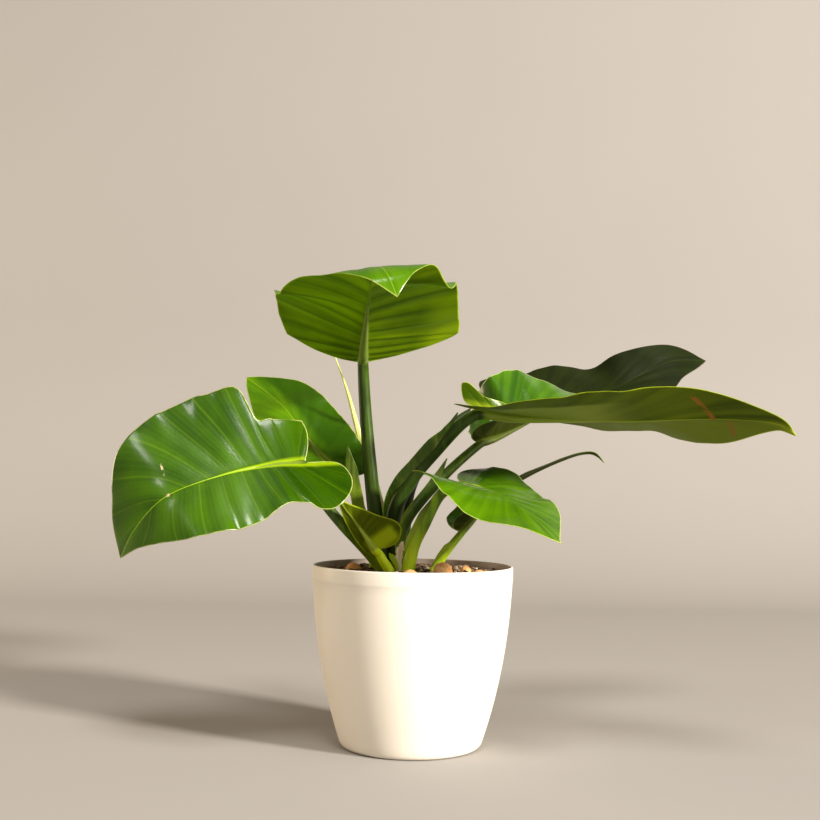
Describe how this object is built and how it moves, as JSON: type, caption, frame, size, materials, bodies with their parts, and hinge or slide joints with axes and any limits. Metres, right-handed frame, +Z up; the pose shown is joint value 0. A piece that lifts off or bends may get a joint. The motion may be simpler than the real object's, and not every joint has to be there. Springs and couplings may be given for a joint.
{
  "type": "potted imperial green philodendron",
  "caption": "House plant with large glossy ovate leaves on sheathed petioles, standing in soil with clay pebbles in a round tapered cover pot.",
  "frame": {"origin": "centre of the pot's flat foot", "axes": "+Z up, -Y towards the side that the picture shows, +X to that side's right"},
  "size_m": [0.4547, 0.2754, 0.3231],
  "materials": {
    "pot_cream": "matt moulded plastic, white to cream",
    "soil_brown": "loose moist potting mix of bark and peat",
    "clay_orange": "fired clay, dull and pitted",
    "crown_green": "fleshy stem, dull",
    "leaf_green": "glossy above, dull below, with pale veins and margins",
    "spear_pale": "smooth rolled leaf, pale yellow"
  },
  "bodies": {
    "root": {"pot": "pot_cream", "soil": "soil_brown", "clay_pebble_1": "clay_orange", "clay_pebble_2": "clay_orange", "clay_pebble_3": "clay_orange", "clay_pebble_4": "clay_orange", "clay_pebble_5": "clay_orange", "clay_pebble_6": "clay_orange", "crown": "crown_green", "leaf_left_front": "leaf_green", "leaf_left_back": "leaf_green", "leaf_top": "leaf_green", "leaf_right_back": "leaf_green", "leaf_right_front": "leaf_green", "leaf_right_middle": "leaf_green", "leaf_right_low": "leaf_green", "leaf_right_slim": "leaf_green", "leaf_front_small": "leaf_green", "new_leaf_spear": "spear_pale"}
  },
  "joints": []
}
